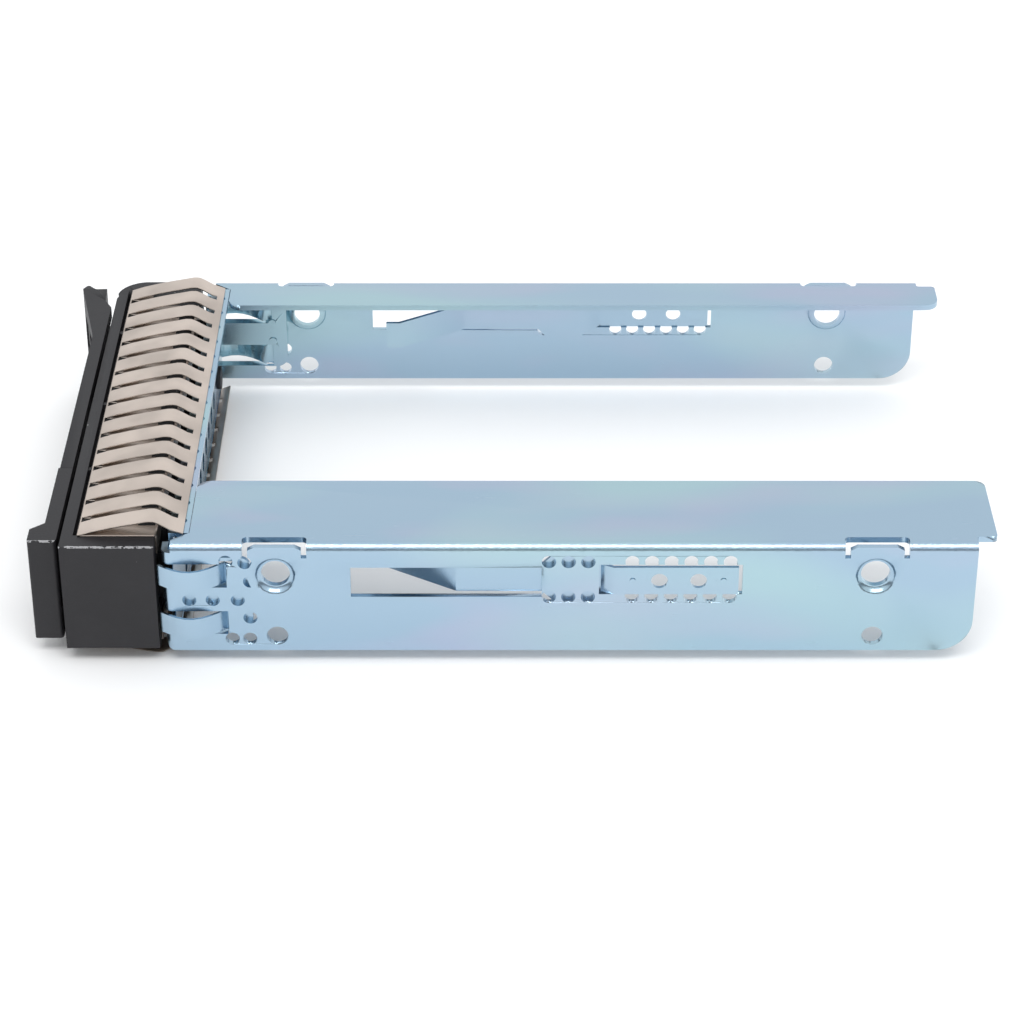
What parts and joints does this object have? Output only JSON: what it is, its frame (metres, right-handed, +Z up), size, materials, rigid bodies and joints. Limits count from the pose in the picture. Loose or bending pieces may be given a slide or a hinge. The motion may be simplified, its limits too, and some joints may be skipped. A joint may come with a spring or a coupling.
{
  "type": "hot swap drive caddy",
  "caption": "Open drive tray: two folded sheet rails with leaf springs, perforated cross channel, finger gaskets and a plastic bezel with a hinged pull handle.",
  "frame": {"origin": "middle of the part's length and width, at the lowest point of the underside", "axes": "+X from the bezel to the open end of the rails, +Z up, near rail at -Y"},
  "size_m": [0.1242, 0.0766, 0.0226],
  "materials": {
    "zinc_sheet": "zinc plated, pale blue passivation",
    "spring_steel": "zinc plated spring strip",
    "gasket_metal": "bare stainless spring strip, satin",
    "bezel_plastic": "fine spark-eroded texture",
    "handle_plastic": "fine spark-eroded texture",
    "latch_plastic": "satin",
    "pin_steel": "ground steel",
    "guide_plastic": "clear moulded plastic"
  },
  "bodies": {
    "tray": {"near_rail": "zinc_sheet", "far_rail": "zinc_sheet", "near_leaf_spring": "spring_steel", "far_leaf_spring": "spring_steel", "cross_channel": "zinc_sheet", "top_gasket": "gasket_metal", "bottom_gasket": "gasket_metal", "bezel_frame": "bezel_plastic", "hinge_pin": "pin_steel", "handle_spring": "pin_steel", "latch_spring": "pin_steel", "activity_light_guide": "guide_plastic", "status_light_guide": "guide_plastic"},
    "handle": {"handle": "handle_plastic", "hinge_cover": "handle_plastic"},
    "latch": {"release_latch": "latch_plastic"}
  },
  "joints": [
    {"name": "handle_swing", "type": "hinge", "parent": "tray", "child": "handle", "pos_m": [-0.0592, -0.0331, 0.0113], "axis": [0, 0, 1], "range_deg": [0, 38], "deforming": ["handle_spring"]},
    {"name": "latch_slide", "type": "slide", "parent": "tray", "child": "latch", "axis": [0, 1, 0], "range_m": [-0.002, 0], "stiffness_N_per_m": 150, "springref_m": 0.001, "deforming": ["latch_spring"]}
  ]
}
